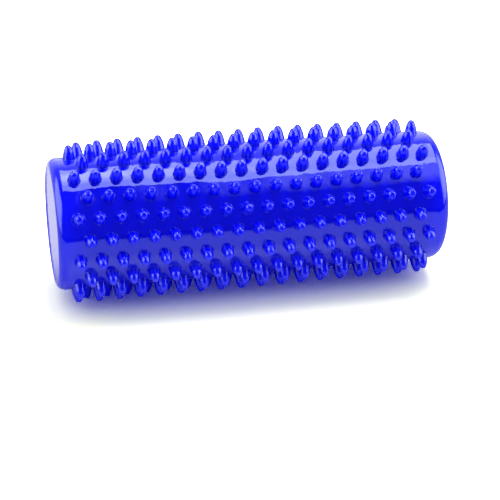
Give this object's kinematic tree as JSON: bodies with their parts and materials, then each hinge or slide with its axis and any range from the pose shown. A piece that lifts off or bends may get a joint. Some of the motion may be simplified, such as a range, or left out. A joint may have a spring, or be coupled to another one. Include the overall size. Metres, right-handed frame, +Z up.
{
  "type": "spiky massage roller",
  "caption": "Hollow soft plastic roller with rounded ends, covered in staggered blunt spikes for massage, closed by a push-in air valve plug in one end.",
  "frame": {"origin": "middle of the roller, on its long axis", "axes": "+X along the roller's axis towards the valve end, +Z up with the roller lying on two neighbouring rows of spikes"},
  "size_m": [0.15, 0.0604, 0.0604],
  "materials": {
    "glossy_blue_pvc": "smooth, glossy soft PVC",
    "firm_blue_pvc": "satin moulded PVC",
    "natural_polyethylene": "milky natural polyethylene"
  },
  "bodies": {
    "roller": {"roller_body": "glossy_blue_pvc", "valve_insert": "firm_blue_pvc"},
    "plug": {"valve_plug": "natural_polyethylene"}
  },
  "joints": [
    {"name": "plug_pull", "type": "slide", "parent": "roller", "child": "plug", "axis": [1, 0, 0], "range_m": [0, 0.014]}
  ]
}
